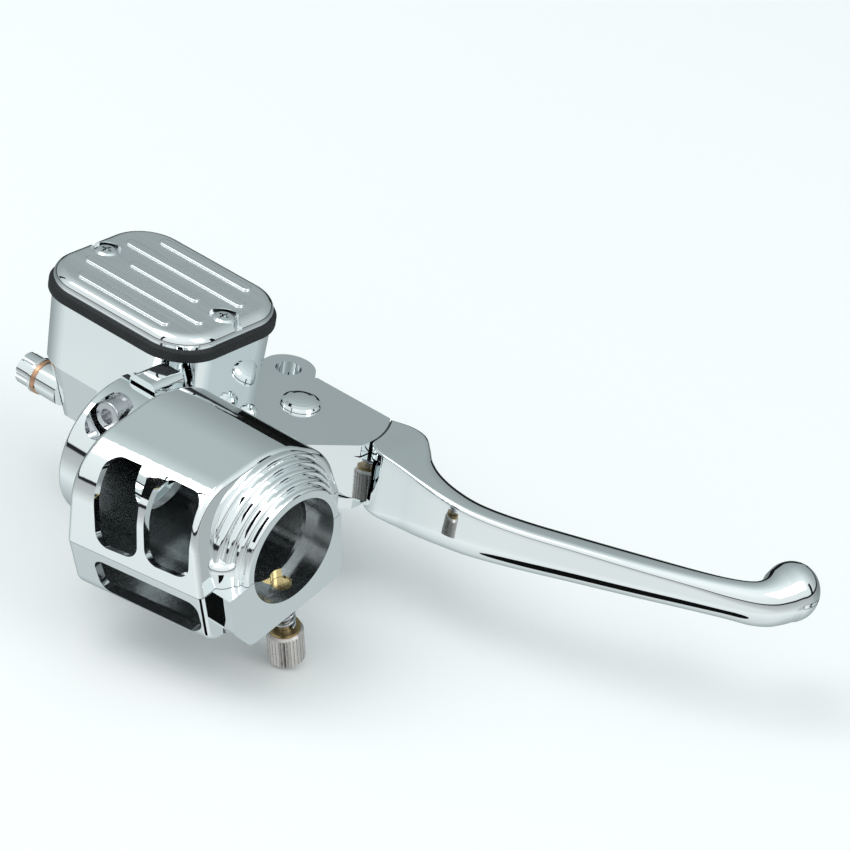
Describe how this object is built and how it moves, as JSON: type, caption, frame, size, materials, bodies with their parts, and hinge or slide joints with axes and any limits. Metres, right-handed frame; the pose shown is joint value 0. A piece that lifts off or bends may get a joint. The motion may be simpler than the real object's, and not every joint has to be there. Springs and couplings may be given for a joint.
{
  "type": "brake master cylinder",
  "caption": "Handlebar brake master cylinder: chrome reservoir with ribbed lid, ball-ended lever, bar clamp and a windowed switch housing with a knurled thumbscrew.",
  "frame": {"origin": "on the handlebar axis, midway along the clamp", "axes": "+X along the handlebar towards its free end, +Y forward, away from the rider, +Z normal to the reservoir lid"},
  "size_m": [0.2541, 0.1752, 0.0881],
  "materials": {
    "chrome_casting": "mirror-polished chrome plate on cast metal",
    "satin_cover": "brushed top between polished rims",
    "gasket_rubber": "matt black moulded rubber",
    "cup_rubber": "soft black seal rubber",
    "fastener_steel": "bright zinc-plated steel",
    "screw_chrome": "chrome-plated steel",
    "washer_copper": "soft copper, crushed rings",
    "piston_alloy": "turned and anodised",
    "spring_steel": "drawn wire",
    "bush_bronze": "sintered bronze",
    "knob_nickel": "satin nickel, knurled",
    "shoe_brass": "machined brass"
  },
  "bodies": {
    "control_body": {"master_cylinder_body": "chrome_casting", "reservoir_cover": "satin_cover", "cover_gasket": "gasket_rubber", "cover_screws": "screw_chrome", "clamp_cap": "chrome_casting", "clamp_bolts": "screw_chrome", "clamp_washers": "fastener_steel", "port_bolt": "screw_chrome", "port_washer": "washer_copper", "return_spring": "spring_steel", "snap_ring": "fastener_steel", "dust_boot": "cup_rubber", "pivot_pin": "screw_chrome", "pivot_clip": "fastener_steel", "bracket_screw": "fastener_steel", "upper_switch_housing": "chrome_casting", "lower_switch_housing": "chrome_casting", "housing_screws": "fastener_steel", "friction_spring": "spring_steel"},
    "lever": {"brake_lever": "chrome_casting", "lever_bushing": "bush_bronze"},
    "piston_group": {"piston": "piston_alloy", "primary_cup": "cup_rubber", "secondary_seal": "cup_rubber"},
    "thrust_parts": {"friction_washer": "shoe_brass", "friction_shoe": "shoe_brass"},
    "thumbscrew": {"friction_knob": "knob_nickel", "friction_stem": "fastener_steel"}
  },
  "joints": [
    {"name": "lever_pivot", "type": "hinge", "parent": "control_body", "child": "lever", "pos_m": [0.0142, 0.0651, -0.009], "axis": [0, 0, -1], "range_deg": [0, 18], "stiffness_Nm_per_rad": 1.5, "springref_deg": -8.59},
    {"name": "piston_slide", "type": "slide", "parent": "control_body", "child": "piston_group", "axis": [-1, 0, 0], "range_m": [0, 0.0098], "deforming": ["return_spring"]},
    {"name": "screw_travel", "type": "slide", "parent": "control_body", "child": "thrust_parts", "axis": [0, -0.2756, 0.9613], "range_m": [0, 0.0016], "deforming": ["friction_spring"]},
    {"name": "screw_turn", "type": "hinge", "parent": "thrust_parts", "child": "thumbscrew", "pos_m": [0.0636, 0.01227, -0.04278], "axis": [0, -0.2756, 0.9613], "range_deg": [0, 720]}
  ],
  "couplings": [
    {"joint": "piston_slide", "follows": "lever_pivot", "m_per_rad": 0.0306},
    {"joint": "screw_turn", "follows": "screw_travel", "rad_per_m": 7854}
  ]
}
